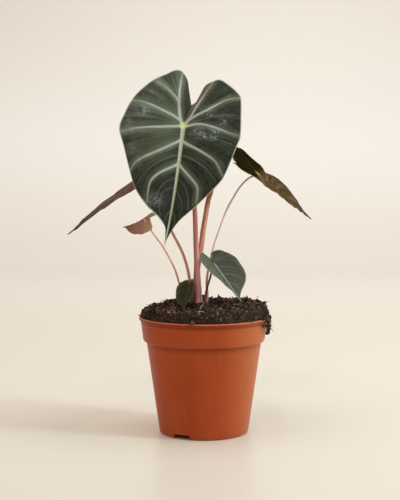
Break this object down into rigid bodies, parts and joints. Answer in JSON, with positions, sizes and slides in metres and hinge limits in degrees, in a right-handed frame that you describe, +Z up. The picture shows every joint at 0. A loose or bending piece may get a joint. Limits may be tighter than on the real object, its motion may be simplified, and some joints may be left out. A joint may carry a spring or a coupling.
{
  "type": "potted pink dragon alocasia",
  "caption": "Potted pink dragon alocasia: dark heart-shaped leaves with pale veins on thin pink stalks, rising from crumbly soil in a round tapered nursery pot.",
  "frame": {"origin": "middle of the pot's foot, on the surface that the pot stands on", "axes": "+Z up, -Y towards the side seen from the front, +X to the right seen from the front"},
  "size_m": [0.243, 0.1408, 0.3372],
  "materials": {
    "pot_plastic": "satin",
    "potting_soil": "rough",
    "corm_skin": "rough",
    "pink_stalk": "satin",
    "dark_stalk": "satin",
    "leaf_dark_green": "satin",
    "leaf_olive": "satin",
    "leaf_brown": "satin",
    "leaf_grey_green": "satin"
  },
  "bodies": {
    "root": {"pot": "pot_plastic", "soil": "potting_soil", "corm_and_roots": "corm_skin", "main_stalks": "pink_stalk", "stalk_right": "pink_stalk", "stalk_left": "pink_stalk", "stalk_small_left": "pink_stalk", "stalk_small_right": "dark_stalk", "stalk_small_front": "dark_stalk", "leaf_main": "leaf_dark_green", "leaf_back": "leaf_dark_green", "leaf_right": "leaf_olive", "leaf_left": "leaf_brown", "leaf_small_left": "leaf_brown", "leaf_small_right": "leaf_grey_green", "leaf_small_front": "leaf_dark_green"}
  },
  "joints": []
}
